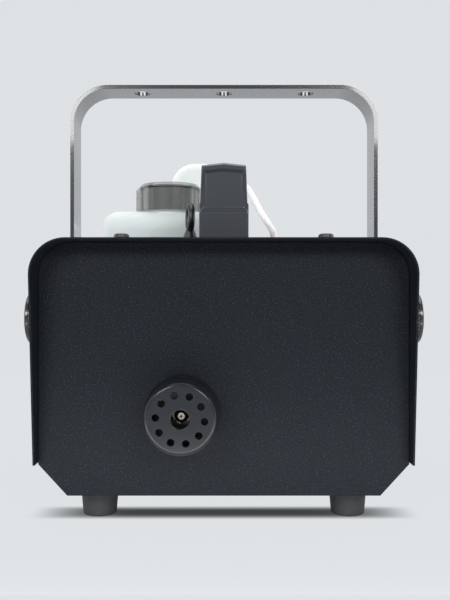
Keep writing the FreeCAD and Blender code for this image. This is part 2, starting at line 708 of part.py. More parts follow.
def make_bracket():
    bracket = body("hanging_bracket")
    extrude(bracket, XZ, "pivot_y - bar_wide/2", "pivot_y + bar_wide/2",
            [arch(BAR_HALF, "bar_top", "bar_round", "bar_thick",
                  "pivot_z - bar_below")])
    foot = number("pivot_z - bar_below")
    soften(bracket, "bar_wide/2 - 1",
           lambda e: runs_along(e, "x") and abs(middle(e).z - foot) < 1e-6)
    extrude(bracket, YZ, f"-{BAR_HALF} - 1", f"{BAR_HALF} + 1", [],
            [("pivot_y", "pivot_z", "stud/2 + run_gap")], cut=True)
    extrude(bracket, XY, "bar_top - bar_thick - 1", "bar_top + 1", [],
            [(x, "pivot_y", "clamp_hole/2")
             for x in ("-clamp_pitch", "0", "clamp_pitch")], cut=True)
    keep("hanging_bracket", bracket)


def make_knobs():
    """Each knob, with its stud and washer, stands on one leg of the bracket."""
    foot = f"({BAR_HALF} + knob_washer)"
    for name, sign, way in (("left", "-", -90), ("right", "", 90)):
        turn = FreeCAD.Rotation(FreeCAD.Vector(0, 1, 0), way)
        knob = body(f"knob_{name}")
        grip = "(knob_wide/2 - ridge)"
        revolve(knob, XZ, [
            ("stud/2", "0"), ("knob_wide*0.24", "0"), ("knob_wide*0.24", "3.5", "2"),
            (f"{grip} - 1", "3.5", "1.5"), (f"{grip} - 1", "8.5"), (grip, "8.5"),
            (grip, "knob_deep - knob_rim"), ("knob_wide/2 - 0.4", "knob_deep - knob_rim"),
            ("knob_wide/2 - 0.4", "knob_deep", "1.2"),
            (f"{grip} - 5", "knob_deep", "1"), (f"{grip} - 6.5", "knob_deep - 2"),
            ("stud/2 + 3", "knob_deep - 2"), ("stud/2 + 3", "knob_deep - 5"),
            ("stud/2", "knob_deep - 5")])
        ridge = extrude(knob, XY, "8.5", "knob_deep - knob_rim - 0.5", [],
                        [(grip, "0", "ridge")])
        pattern(knob, ridge, "Z_Axis", "40")
        knob.Placement.Rotation = turn
        place(knob, f"{sign}{foot}", "pivot_y", "pivot_z")
        keep(f"knob_{name}", knob)

        reach = "(bar_thick + bar_gap + metal + 9 + knob_washer)"
        shank = rod(f"stud_{name}_shank", "stud", f"{reach} + knob_deep - 5.5",
                    ("0", "0", f"-{reach}"))
        head = rod(f"stud_{name}_head", "stud + 5.4", "2.6",
                   ("0", "0", "knob_deep - 5"))
        socket = rod(f"stud_{name}_hollow", "stud", "2.6", ("0", "0", "knob_deep - 4"))
        tail = rod(f"stud_{name}_tail", "stud", "2", ("0", "0", "knob_deep - 6"))
        stud = cut(f"knob_stud_{name}",
                   fuse(f"stud_{name}_blank", shank, tail, head), socket)
        stud.Placement.Rotation = turn
        place(stud, f"{sign}{foot}", "pivot_y", "pivot_z")
        keep(f"knob_stud_{name}", stud)

        washer = tube(f"knob_washer_{name}", "3*stud", "stud + screw_gap",
                      "knob_washer - 0.1")
        washer.Placement.Rotation = turn
        place(washer, f"{sign}{BAR_HALF}", "pivot_y", "pivot_z")
        share("knob_washers", washer)

    shims = [tube(f"shim_{n}", "26", "stud + screw_gap", "bar_gap*0.8",
                  (x, "pivot_y", "pivot_z"), "x")
             for n, x in (("l", f"-({HOOD_HALF} + bar_gap*0.8)"), ("r", HOOD_HALF))]
    share("flat_washers", *shims)
    nuts = [hexagon(f"pivot_nut_{n}", "13", "stud + 2*run_gap", "6",
                    (x, "pivot_y", "pivot_z"), "x")
            for n, x in (("l", f"-({HOOD_HALF} - metal)"),
                         ("r", f"{HOOD_HALF} - metal - 6"))]
    share("hex_nuts", *nuts)


# ---------------------------------------------------------------- handle and eye

def make_handle():
    side = body("handle_side")
    front, back = "-handle_front", "(-handle_front + handle_long)"
    top = "(hood_top + handle_high)"
    grip = f"({top} - handle_bar)"
    extrude(side, YZ, "-handle_base", "handle_base", [[
        (front, "hood_top"), (front, top, "9"), (back, top, "9"),
        (back, "hood_top"), (f"{back} - handle_leg", "hood_top"),
        (f"{back} - handle_leg", grip, "10"),
        (f"{front} + handle_leg", grip, "10"),
        (f"{front} + handle_leg", "hood_top")]])
    face = body("handle_face")
    step = "(hood_top + 0.48*handle_high)"
    extrude(face, XZ, f"{front} - 1", f"{back} + 1", [[
        ("-handle_base/2", "hood_top"), ("-handle_base/2", step),
        ("-(handle_base/2 - 0.8)", f"{step} + 1"),
        ("-handle_crown/2", f"{top} - 1.6", "3"), ("0", top),
        ("handle_crown/2", f"{top} - 1.6", "3"),
        ("(handle_base/2 - 0.8)", f"{step} + 1"),
        ("handle_base/2", step), ("handle_base/2", "hood_top")]])
    solid = common("handle_solid", side, face)
    recess_low, recess_high = f"({step} - 4)", f"({top} - 2.6)"
    dents = [round_off(f"handle_dent{i}", block(
        f"handle_dent_block{i}",
        ("handle_crown - 5.5", "4", f"{recess_high} - {recess_low}"),
        ("-(handle_crown - 5.5)/2", y, recess_low)), "1.2",
        lambda e: runs_along(e, "y"))
        for i, y in enumerate((f"{front} - 2.2", f"{back} - 1.8"))]
    holes = [rod(f"handle_pilot{i}", "small_screw + 2*run_gap", "20",
                 (x, y, "hood_top - 1"))
             for i, (x, y) in enumerate((x, y) for x in HANDLE_SCREWS_X
                                        for y in HANDLE_SCREWS_Y)]
    keep("carry_handle", cut("carry_handle", solid, *dents, *holes))
    screws = [pan_screw(f"handle_screw{i}", "small_screw", "16 + metal + washer",
                        (x, y, "hood_top - metal - washer"), (0, 0, -1))
              for i, (x, y) in enumerate((x, y) for x in HANDLE_SCREWS_X
                                         for y in HANDLE_SCREWS_Y)]
    share("small_screws", *screws)
    washers = [tube(f"handle_washer{i}", "10", "small_screw + screw_gap", "washer",
                    (x, y, "hood_top - metal - washer"))
               for i, (x, y) in enumerate((x, y) for x in HANDLE_SCREWS_X
                                          for y in HANDLE_SCREWS_Y)]
    share("flat_washers", *washers)


def make_eye():
    radius = "(eye_ring/2 - eye_wire/2)"
    centre = f"hood_top + eye_neck + {radius}"
    ring = doc.addObject("Part::Torus", "eye_loop")
    bind(ring, "Radius1", radius)
    bind(ring, "Radius2", "eye_wire/2")
    upright = FreeCAD.Rotation(FreeCAD.Vector(0, 1, 0), 90)
    yaw = FreeCAD.Rotation(FreeCAD.Vector(0, 0, 1), 10)
    seam = FreeCAD.Rotation(FreeCAD.Vector(0, 0, 1), 90)
    ring.Placement.Rotation = yaw.multiply(upright).multiply(seam)
    place(ring, "eye_x", "eye_y", centre)
    collar = cone("eye_collar", "2.2*large_screw", "1.3*large_screw", "eye_neck - 6",
                  ("eye_x", "eye_y", "hood_top + 5.5"))
    shank = rod("eye_shank", "large_screw", "25",
                ("eye_x", "eye_y", "hood_top - 18"))
    keep("safety_eye", fuse("safety_eye", ring, collar, shank))
    nuts = [hexagon(f"eye_nut{i}", "2*large_screw + 2", "large_screw + 2*run_gap",
                    "4", ("eye_x", "eye_y", z))
            for i, z in enumerate(("hood_top + 1.2", "hood_top - metal - 4"))]
    washer = tube("eye_washer", "3*large_screw", "large_screw + screw_gap", "1.2",
                  ("eye_x", "eye_y", "hood_top"))
    share("hex_nuts", *nuts)
    share("flat_washers", washer)


# ---------------------------------------------------------------- tank and hose

CAP_LOW = "(tank_top + cap_gap)"
NECK_TOP = "(cap_top - cap_wall - liner)"
HUMP_RIGHT = f"({TANK_RIGHT} - hump_in)"
HUMP_LEFT = f"({HUMP_RIGHT} - hump_wide)"


def bottle(name, inset):
    """The bottle's outer skin, or its hollow when inset by the wall."""
    low = block(name + "_low", (f"tank_wide - 2*{inset}", f"tank_deep - 2*{inset}",
                                f"tank_top - tank_low - 2*{inset}"),
                (f"tank_left + {inset}", f"tank_front + {inset}",
                 f"tank_low + {inset}"))
    low = round_off(name + "_low_round", low, f"tank_round - {inset}")
    hump = block(name + "_hump", (f"hump_wide - 2*{inset}", f"hump_deep - 2*{inset}",
                                  "hump_top - tank_top + 30"),
                 (f"{HUMP_LEFT} + {inset}", f"{TANK_BACK} - hump_deep + {inset}",
                  f"tank_top - 30 - {inset}"))
    crown = number(f"hump_top - {inset}")
    hump = round_off(name + "_hump_round", hump, f"22 - {inset}",
                     lambda e: runs_along(e, "y") and abs(middle(e).z - crown) < 1e-6)
    hump = round_off(name + "_hump_soft", hump, f"7 - {inset}",
                     lambda e: middle(e).z > crown - 22 and not runs_along(e, "y"))
    return low, hump


def make_tank():
    outside = bottle("tank", "0")
    neck = rod("tank_neck", "neck_wide", f"{NECK_TOP} - tank_top + 8",
               ("neck_x", "neck_y", "tank_top - 8"))
    bead = rod("tank_bead", "neck_wide + 2", "1.6", ("neck_x", "neck_y", "tank_top"))
    inside = bottle("tank_hollow", "tank_wall")
    mouth = rod("tank_mouth", "neck_wide - 2*tank_wall", f"{NECK_TOP} - tank_top + 12",
                ("neck_x", "neck_y", "tank_top - 11"))
    spigot = rod("tank_port", "7", "20", (f"{HUMP_RIGHT} - 12", "port_y", "port_z"), "x")
    shell = cut("fluid_tank", fuse("tank_solid", *outside, neck, bead),
                *inside, mouth, spigot)
    keep("fluid_tank", shell)


def make_cap():
    cap = body("tank_cap")
    high, inner = f"(cap_top - {CAP_LOW})", "(cap_wide/2 - cap_wall - 1)"
    revolve(cap, XZ, [(inner, "0"), ("cap_wide/2 - 1", "0"),
                      ("cap_wide/2 - 1", f"{high} - 4"),
                      ("cap_wide/2 - 4.8", high, "1"), ("0", high),
                      ("0", f"{high} - cap_wall"), (inner, f"{high} - cap_wall")])
    rib = extrude(cap, XY, "0.8", f"{high} - 5", [], [("0", "-(cap_wide/2 - 1.6)", "1.6")])
    pattern(cap, rib, "Z_Axis", "cap_ribs")
    place(cap, "neck_x", "neck_y", CAP_LOW)
    keep("tank_cap", cap)
    keep("cap_liner", rod("cap_liner", "neck_wide + 2", "liner",
                          ("neck_x", "neck_y", NECK_TOP)))


def make_hose():
    """The hose runs from the tank's port over to its gland and down to the pump."""
    start = spot(f"{HUMP_RIGHT} + 4", "port_y", "port_z")
    gland = spot("gland_x", "gland_y", "hood_top + gland_high")
    entry = spot("pump_x", "pump_y", "pump_z + pump_high/2 + 9")
    route = [start,
             (start[0] + 11, start[1] - 1, start[2] - 2.5),
             (start[0] + 18.5, start[1] - 7.5, start[2] - 14.5),
             (start[0] + 25.5, start[1] - 22, start[2] - 32),
             (gland[0] - 3.5, gland[1] + 14, gland[2] + 17),
             (gland[0], gland[1], gland[2] + 8),
             (gland[0] + 0.4, gland[1] + 0.1, gland[2] - 27),
             (entry[0] - 10, entry[1] - 8, entry[2] + 31),
             (entry[0], entry[1], entry[2] + 17), entry]
    hose = pipe("fluid_hose", route, number("hose"), number("hose_bore"))
    keep("fluid_hose", hose)
    stem = rod("tank_fitting_stem", "6.6", "16", (f"{HUMP_RIGHT} - 12", "port_y",
                                                 "port_z"), "x")
    collar = rod("tank_fitting_collar", "13", "4", (HUMP_RIGHT, "port_y", "port_z"),
                 "x")
    bore = rod("tank_fitting_bore", "3", "30", (f"{HUMP_RIGHT} - 14", "port_y",
                                               "port_z"), "x")
    keep("tank_fitting", cut("tank_fitting",
                             fuse("tank_fitting_blank", stem, collar), bore))
    inside_x = f"{HUMP_RIGHT} - 15"
    pickup = tube("pickup_tube", "hose", "hose_bore", "port_z + 3 - tank_low - 24",
                  (inside_x, "port_y", "tank_low + 24"))
    strainer = tube("pickup_strainer_body", "12", "hose + 0.1", "14",
                    (inside_x, "port_y", "tank_low + 18"))
    keep("pickup_tube", pickup)
    keep("pickup_strainer", strainer)
    outside = fuse("gland_outside",
                   cone("gland_nose", "12", "hose + 2.4", "gland_high - 6",
                        ("gland_x", "gland_y", "hood_top + 6")),
                   rod("gland_flange", "19", "3.4", ("gland_x", "gland_y", "hood_top")),
                   rod("gland_body", "14", "6", ("gland_x", "gland_y", "hood_top")),
                   rod("gland_neck", "2*hose", "9",
                       ("gland_x", "gland_y", "hood_top - 9")))
    keep("hose_gland", cut("hose_gland", outside,
                           rod("gland_bore", "hose + 1.2", "60",
                               ("gland_x", "gland_y", "hood_top - 20"))))
    share("hex_nuts", hexagon("gland_nut", "19", "2*hose + 2*run_gap", "5",
                              ("gland_x", "gland_y", "hood_top - metal - 5")))


def make_cradle():
    left, right = "(tank_left - tank_gap)", f"({TANK_RIGHT} + tank_gap)"
    shelf = "(tank_low - fit_gap)"
    plate = block("cradle_plate", (f"{right} - {left}", "tank_deep + 2*fit_gap",
                                   "metal"),
                  (left, "tank_front - fit_gap", f"{shelf} - metal"))
    legs = [block(f"cradle_leg{i}", ("metal", "45", f"{shelf} - base_low - metal"),
                  (x, "tank_front + 34", "base_low + metal"))
            for i, x in enumerate(("-96", f"{right} - metal"))]
    toes = [block(f"cradle_toe{i}", ("8", "45", "metal"),
                  (x, "tank_front + 34", "base_low + metal"))
            for i, x in enumerate(("-96", f"{right} - 8"))]
    lips = [block("cradle_lip_front", (f"{right} - {left}", "metal", "14"),
                  (left, "tank_front - fit_gap - metal", f"{shelf} - metal"))]
    keep("tank_cradle", fuse("tank_cradle", plate, *legs, *toes, *lips))


# ---------------------------------------------------------------- nozzle and heater

HEATER_TOP = "(nozzle_z + heater_high/2)"
HEATER_LOW = "(nozzle_z - heater_high/2)"
HEATER_BACK = "(-heater_face + heater_long)"
HEATER_LEFT = "(nozzle_x - heater_wide/2)"
WRAP = "wrap_thick"


def make_guard():
    guard = body("nozzle_guard")
    base, face, wall = "guard_base/2", "guard_face/2", "guard_wall"
    revolve(guard, XZ, [
        ("guard_throat/2", "0"), (base, "0"), (base, "4.6", "0.8"),
        (f"{base} - 0.9", "5.6"), (face, "guard_reach", "2.6"),
        ("guard_mouth/2", "guard_reach", "0.6"),
        ("guard_mouth/2", "guard_reach - 3"), (f"{face} - {wall}", "guard_reach - 3"),
        (f"{base} - 0.9 - {wall}", "7"), ("guard_throat/2", "7")])
    offset = math.radians(22.4)
    hole = extrude(guard, XY, "guard_reach - 4", "guard_reach + 1", [],
                   [(f"vent_circle*{math.sin(offset):.4f}",
                     f"vent_circle*{math.cos(offset):.4f}", "vent_hole/2")], cut=True)
    pattern(guard, hole, "Z_Axis", "10")
    pins = [(f"guard_pin*{x:.4f}", f"guard_pin*{z:.4f}", "1.45")
            for x, z in guard_pin_places()]
    extrude(guard, XY, "-1", "5", [], pins, cut=True)
    guard.Placement.Rotation = FreeCAD.Rotation(FreeCAD.Vector(1, 0, 0), 90)
    place(guard, "nozzle_x", "-panel_front", "nozzle_z")
    keep("nozzle_guard", guard)
    screws = [pan_screw(f"guard_screw{i}", "2.8", "5 + metal",
                        (f"nozzle_x + {x:.4f}*guard_pin", "-panel_front + metal",
                         f"nozzle_z + {z:.4f}*guard_pin"), (0, 1, 0))
              for i, (x, z) in enumerate(guard_pin_places())]
    share("fine_screws", *screws)


def make_nozzle():
    tip = fuse("nozzle_tip_blank",
               cone("nozzle_cone", "4.4", "9", "4",
                    ("nozzle_x", "-tip_front", "nozzle_z"), "y"),
               rod("nozzle_shoulder", "9", "3",
                   ("nozzle_x", "-tip_front + 4", "nozzle_z"), "y"),
               hexagon("nozzle_hexagon", "11", "1", "6",
                       ("nozzle_x", "-tip_front + 7", "nozzle_z"), "y"))
    keep("nozzle_tip", cut("nozzle_tip", tip,
                           rod("nozzle_jet", "1.2", "30",
                               ("nozzle_x", "-tip_front - 1", "nozzle_z"), "y")))
    keep("nozzle_tube", tube("nozzle_tube", "8", "4", "tip_front - 13 - heater_face",
                             ("nozzle_x", "-tip_front + 13", "nozzle_z"), "y"))


def make_heater():
    casting = block("heater_casting", ("heater_wide", "heater_long", "heater_high"),
                    (HEATER_LEFT, "-heater_face", HEATER_LOW))
    casting = round_off("heater_rounded", casting, "5", lambda e: runs_along(e, "y"))
    channel = rod("heater_channel", "5", "heater_long + 2",
                  ("nozzle_x", "-heater_face - 1", "nozzle_z"), "y")
    sockets = [rod(f"heater_socket{i}", "8.2", "heater_long",
                   (f"nozzle_x + {side}*heater_wide*0.28", "-heater_face + 6",
                    "nozzle_z"), "y") for i, side in enumerate((-1, 1))]
    keep("heater_block", cut("heater_block", casting, channel, *sockets))
    rods = [fuse(f"heater_rod_whole{i}",
                 rod(f"heater_rod{i}", "8", "heater_long - 2",
                     (f"nozzle_x + {side}*heater_wide*0.28", "-heater_face + 7",
                      "nozzle_z"), "y"),
                 rod(f"heater_pin{i}", "2.4", "9",
                     (f"nozzle_x + {side}*heater_wide*0.28", f"{HEATER_BACK} + 4",
                      "nozzle_z"), "y")) for i, side in enumerate((-1, 1))]
    keep("heating_elements", group("heating_elements", *rods))
    outer = block("wrap_outer", (f"heater_wide + 2*{WRAP}", "heater_long - 10",
                                 f"heater_high + 2*{WRAP}"),
                  (f"{HEATER_LEFT} - {WRAP}", "-heater_face + 5",
                   f"{HEATER_LOW} - {WRAP}"))
    outer = round_off("wrap_rounded", outer, f"5 + {WRAP}",
                      lambda e: runs_along(e, "y"))
    inner = block("wrap_inner", ("heater_wide", "heater_long + 2", "heater_high"),
                  (HEATER_LEFT, "-heater_face - 1", HEATER_LOW))
    windows = [block(f"wrap_window{i}", ("26", "26", f"2*{WRAP}"),
                     ("nozzle_x - 13", y, f"{HEATER_TOP} - 1"))
               for i, y in enumerate(("-53", "-13"))]
    keep("heater_wrap", cut("heater_wrap", outer, inner, *windows))
    stands = []
    for i, y in enumerate(("-heater_face - 2", HEATER_BACK)):
        plate = block(f"stand_plate{i}", ("heater_wide", "2",
                                          f"{HEATER_LOW} + 8 - base_low - metal"),
                      (HEATER_LEFT, y, "base_low + metal"))
        toe = block(f"stand_toe{i}", ("heater_wide", "14", "2"),
                    (HEATER_LEFT, f"{y} - 12" if i == 0 else y, "base_low + metal"))
        stands.append(fuse(f"stand{i}", plate, toe))
    keep("heater_stands", group("heater_stands", *stands))
    for name, y, wide in (("thermostat", "-40", "16"), ("thermal_cutout", "0", "14")):
        disc = rod(name + "_can", wide, "6", ("nozzle_x", y, HEATER_TOP))
        cap = rod(name + "_cap", f"{wide} - 3", "5",
                  ("nozzle_x", y, f"{HEATER_TOP} + 6"))
        tabs = [block(f"{name}_tab{i}", ("0.8", "6.3", "8"),
                      (f"nozzle_x + {x}", f"{y} - 3.15", f"{HEATER_TOP} + 10"))
                for i, x in enumerate((-5, 4))]
        keep(name, fuse(name, disc, cap, *tabs))


# ---------------------------------------------------------------- pump

def make_pump():
    at = ("pump_x", "pump_y")
    low, high = "(pump_z - pump_high/2)", "(pump_z + pump_high/2)"
    frame = block("pump_frame_outer", ("44", "32", "pump_high"),
                  ("pump_x - 22", "pump_y - 16", low))
    window = block("pump_frame_window", ("37", "34", "pump_high - 7"),
                   ("pump_x - 18.5", "pump_y - 17", f"{low} + 3.5"))
    bore = rod("pump_frame_bore", "pump_tube + 2*run_gap", "pump_high + 2",
               (*at, f"{low} - 1"))
    foot = block("pump_foot", ("2.5", "32", f"{low} + 20 - base_low - metal"),
                 ("pump_x + 22", "pump_y - 16", "base_low + metal"))
    toe = block("pump_toe", ("15", "32", "2.5"),
                ("pump_x + 22", "pump_y - 16", "base_low + metal"))
    keep("pump_frame", cut("pump_frame", fuse("pump_frame_blank", frame, foot, toe),
                           window, bore))
    keep("pump_coil", tube("pump_coil", "34", "pump_tube + 2*run_gap",
                           "pump_high - 7.6", (*at, f"{low} + 3.8")))
    sleeve = tube("pump_sleeve", "pump_tube", "pump_bore", "pump_high + 6",
                  (*at, f"{low} - 3"))
    keep("pump_sleeve", sleeve)
    inlet = fuse("pump_inlet_blank",
                 rod("pump_inlet_cap", "20", "5", (*at, f"{high} + 3")),
                 rod("pump_inlet_barb", "hose_bore", "10", (*at, f"{high} + 8")))
    keep("pump_inlet", cut("pump_inlet", inlet,
                           rod("pump_inlet_bore", "2", "20", (*at, f"{high} + 2"))))
    outlet = fuse("pump_outlet_blank",
                  rod("pump_outlet_cap", "18", "8", (*at, f"{low} - 11")),
                  rod("pump_outlet_barb", "6", "6", (*at, f"{low} - 17")))
    keep("pump_outlet", cut("pump_outlet", outlet,
                            rod("pump_outlet_bore", "2.4", "16",
                                (*at, f"{low} - 18"))))
    plunger_low = "(pump_z - 8)"
    keep("pump_plunger", rod("pump_plunger", "pump_bore - 2*run_gap", "20",
                             (*at, plunger_low)))
    spring_low = f"({low} - 3)"
    keep("pump_spring", tube("pump_spring", "pump_bore - 0.8", "pump_bore - 3.2",
                             f"{plunger_low} - {spring_low} - 0.1",
                             (*at, f"{spring_low} + 0.05")))
    start = spot("pump_x", "pump_y", f"{low} - 17")
    end = spot("nozzle_x", f"{HEATER_BACK} + 2", "nozzle_z")
    route = [start,
             (start[0] - 1, start[1] - 1, start[2] - 7),
             (start[0] - 12, start[1] - 4, start[2] - 14),
             (start[0] - 34, start[1] - 6, start[2] - 13),
             (end[0] + 18, end[1] + 28, end[2] - 26),
             (end[0] + 4, end[1] + 19, end[2] - 12),
             (end[0], end[1] + 9, end[2] - 1.5),
             end]
    keep("pump_line", pipe("pump_line", route, 4.0, 2.4))


# ---------------------------------------------------------------- electrics

def make_board():
    left, front, floor = "board_left", "-72", "(base_low + metal)"
    board = block("control_board", ("68", "86", "1.6"), (left, front, f"{floor} + 8"))
    corners = [(f"{left} + {x}", f"{front} + {y}") for x in (5, 63) for y in (5, 81)]
    holes = [rod(f"board_hole{i}", "3.4", "4", (x, y, f"{floor} + 7"))
             for i, (x, y) in enumerate(corners)]
    keep("control_board", cut("control_board", board, *holes))
    posts = [tube(f"board_post{i}", "6", "2.6", "8", (x, y, floor))
             for i, (x, y) in enumerate(corners)]
    keep("board_posts", group("board_posts", *posts))
    screws = [pan_screw(f"board_screw{i}", "2.5", "7", (x, y, f"{floor} + 9.6"),
                        (0, 0, 1)) for i, (x, y) in enumerate(corners)]
    share("fine_screws", *screws)
    top = f"{floor} + 9.6"
    pieces = [block("relay", ("19", "16", "15"), (f"{left} + 40", f"{front} + 14", top)),
              block("transformer", ("28", "24", "20"),
                    (f"{left} + 10", f"{front} + 12", top)),
              block("connector", ("30", "8", "9"), (f"{left} + 18", f"{front} + 74", top)),
              rod("capacitor", "12", "20", (f"{left} + 20", f"{front} + 50", top)),
              rod("capacitor_small", "8", "12", (f"{left} + 34", f"{front} + 48", top)),
              block("triac", ("10", "4.5", "16"), (f"{left} + 50", f"{front} + 50", top))]
    keep("board_components", group("board_components", *pieces))
    strip = block("terminal_blank", ("40", "18", "13"), ("34", "-100", floor))
    wells = [rod(f"terminal_well{i}", "5", "8", (f"{39 + 10 * i}", "-91", f"{floor} + 6"))
             for i in range(4)]
    keep("terminal_strip", cut("terminal_strip", strip, *wells))


def make_sockets():
    face = "panel_back"
    flange = block("inlet_flange", ("50", "2.6", "23"),
                   ("inlet_x - 25", face, "inlet_z - 11.5"))
    flange = round_off("inlet_flange_round", flange, "6",
                       lambda e: runs_along(e, "y"))
    shell = block("inlet_shell", ("27", "22", "19"),
                  ("inlet_x - 13.5", f"{face} - 22", "inlet_z - 9.5"))
    recess = block("inlet_recess_blank", ("24.4", "20", "16.4"),
                   ("inlet_x - 12.2", f"{face} - 16", "inlet_z - 8.2"))
    top = number("inlet_z + 8.2")
    recess = round_off("inlet_recess", recess, "4.5",
                       lambda e: runs_along(e, "y") and abs(middle(e).z - top) < 1e-6)
    ears = [rod(f"inlet_ear{i}", "3.6", "6", (f"inlet_x + {x}", f"{face} - 1",
                                              "inlet_z"), "y")
            for i, x in enumerate((-20, 20))]
    slots = [block(f"inlet_slot{i}", ("2.1", "8", "4.1"),
                   (f"inlet_x + {x} - 1.05", f"{face} - 23", f"inlet_z + {z} - 2.05"))
             for i, (x, z) in enumerate(((-7, -1), (0, 3), (7, -1)))]
    keep("mains_inlet", cut("mains_inlet", fuse("inlet_blank", flange, shell),
                            recess, *ears, *slots))
    pins = [block(f"inlet_pin{i}", ("2", "27", "4"),
                  (f"inlet_x + {x} - 1", f"{face} - 28", f"inlet_z + {z} - 2"))
            for i, (x, z) in enumerate(((-7, -1), (0, 3), (7, -1)))]
    share("socket_pins", *pins)
    inlet_screws = [pan_screw(f"inlet_screw{i}", "3", "8",
                              (f"inlet_x + {x}", f"{face} + 2.6", "inlet_z"),
                              (0, 1, 0)) for i, x in enumerate((-20, 20))]
    remote_screws = [pan_screw(f"remote_screw{i}", "3", "8",
                               (f"remote_x + {x}", f"{face} + 2", f"remote_z + {z}"),
                               (0, 1, 0))
                     for i, (x, z) in enumerate(((-10, 12.5), (10, -12.5)))]
    share("fine_screws", *inlet_screws, *remote_screws)

    bezel = block("switch_bezel", ("16", "1.8", "23"),
                  ("switch_x - 8", face, "switch_z - 11.5"))
    bezel = round_off("switch_bezel_round", bezel, "1.5", lambda e: runs_along(e, "y"))
    case = block("switch_case", ("13", "18", "19.4"),
                 ("switch_x - 6.5", f"{face} - 18", "switch_z - 9.7"))
    well = block("switch_well", ("11", "12", "18.6"),
                 ("switch_x - 5.5", f"{face} - 8", "switch_z - 9.3"))
    keep("switch_case", cut("switch_case", fuse("switch_blank", bezel, case), well))
    rocker = common("switch_rocker",
                    block("rocker_blank", ("10.4", "8", "20"), ("-5.2", "-4", "-10")),
                    rod("rocker_barrel", "17.8", "12", ("-6", "0", "0"), "x"))
    rocker.Placement.Rotation = FreeCAD.Rotation(FreeCAD.Vector(1, 0, 0), 8)
    place(rocker, "switch_x", f"{face} + 0.4", "switch_z")
    keep("switch_rocker", rocker)

    holder = fuse("fuse_blank", rod("fuse_tube", "12", "32",
                                    ("fuse_x", f"{face} - 32", "fuse_z"), "y"),
                  rod("fuse_flange", "17", "2.4", ("fuse_x", face, "fuse_z"), "y"))
    keep("fuse_holder", cut("fuse_holder", holder,
                            rod("fuse_bore", "9", "36",
                                ("fuse_x", f"{face} - 30", "fuse_z"), "y")))
    keep("glass_fuse", rod("glass_fuse", "5.2", "20",
                           ("fuse_x", f"{face} - 24", "fuse_z"), "y"))
    cap = fuse("fuse_cap_blank",
               rod("fuse_cap_plug", "8.6", "6.4", ("fuse_x", f"{face} - 3.8", "fuse_z"),
                   "y"),
               rod("fuse_cap_head", "14", "7", ("fuse_x", f"{face} + 2.5", "fuse_z"),
                   "y"))
    slot = block("fuse_cap_slot", ("11", "3", "1.6"),
                 ("fuse_x - 5.5", f"{face} + 7.5", "fuse_z - 0.8"))
    keep("fuse_cap", cut("fuse_cap", cap, slot))

    plate = block("remote_plate", ("26", "2", "31"),
                  ("remote_x - 13", face, "remote_z - 15.5"))
    plate = round_off("remote_plate_round", plate, "3", lambda e: runs_along(e, "y"))
    barrel = rod("remote_barrel", "20", "18", ("remote_x", f"{face} - 18", "remote_z"),
                 "y")
    cavity = rod("remote_cavity", "16", "24", ("remote_x", f"{face} - 13", "remote_z"),
                 "y")
    ears = [rod(f"remote_ear{i}", "3.6", "6",
                (f"remote_x + {x}", f"{face} - 2", f"remote_z + {z}"), "y")
            for i, (x, z) in enumerate(((-10, 12.5), (10, -12.5)))]
    pin_places = [(f"remote_x + {5 * math.cos(a):.3f}",
                   f"remote_z + {5 * math.sin(a):.3f}")
                  for a in (math.radians(18 + 72 * i) for i in range(5))]
    bores = [rod(f"remote_bore{i}", "1.7", "8", (x, f"{face} - 19", z), "y")
             for i, (x, z) in enumerate(pin_places)]
    keep("remote_socket", cut("remote_socket", fuse("remote_blank", plate, barrel),
                              cavity, *ears, *bores))
    pins = [rod(f"remote_pin{i}", "1.6", "16", (x, f"{face} - 20", z), "y")
            for i, (x, z) in enumerate(pin_places)]
    share("socket_pins", *pins)


def make_wires():
    """The leads inside the case, each held at both of its ends."""
    live = spot("inlet_x + 7", "panel_back - 28", "inlet_z - 1")
    plug = spot("board_left + 18", "-72 + 78", "base_low + metal + 14.3")
    mains_route = [live, (live[0] + 1.5, live[1] - 9, live[2] - 1),
                   (live[0] + 9, live[1] - 19, live[2] - 5),
                   (live[0] + 13, live[1] - 34, live[2] - 11),
                   (live[0] + 10, live[1] - 52, live[2] - 18),
                   (live[0] + 1, live[1] - 69, live[2] - 23),
                   (plug[0] + 29, plug[1] + 14, plug[2] + 0.5),
                   (plug[0] + 28, plug[1] + 4, plug[2])]
    share("inside_wires", pipe("mains_wires", mains_route, 4.4))
    pin = spot("nozzle_x + heater_wide*0.28", f"{HEATER_BACK} + 13", "nozzle_z")
    heater_route = [pin, (pin[0] + 3.6, pin[1] + 4, pin[2] - 0.7),
                    (pin[0] + 17, pin[1] + 4, pin[2] - 8),
                    (pin[0] + 33, pin[1] - 3, pin[2] - 22),
                    (plug[0] - 14, plug[1] + 9, plug[2] + 4), plug]
    share("inside_wires", pipe("heater_wires", heater_route, 3.2))


MAKERS = [make_hood, make_base_tray, make_front_panel, make_rear_panel,
          make_case_screws, make_feet, make_bracket, make_knobs, make_handle, make_eye,
          make_tank, make_cap, make_hose, make_cradle, make_guard, make_nozzle,
          make_heater, make_pump, make_board, make_sockets, make_wires]
for make in MAKERS:
    make()
for name, items in shared.items():
    keep(name, group(name, *items))


# ---------------------------------------------------------------- checks and files

doc.recompute()
for item in doc.Objects:
    if {"Invalid", "Error"} & set(item.State):
        raise ValueError(f"{item.Name} failed: {item.State}")
for name, item in subparts.items():
    if item.Shape.isNull() or not item.Shape.isValid():
        raise ValueError(f"the shape of {name} is not valid")

os.makedirs("parts", exist_ok=True)
for name, item in subparts.items():
    item.Shape.exportStep(f"parts/{name}.step")
    print(f"{name}: {len(item.Shape.Solids)} solid(s), {item.Shape.Volume / 1000:.2f} cm3")
print(len(subparts), "sub-parts")
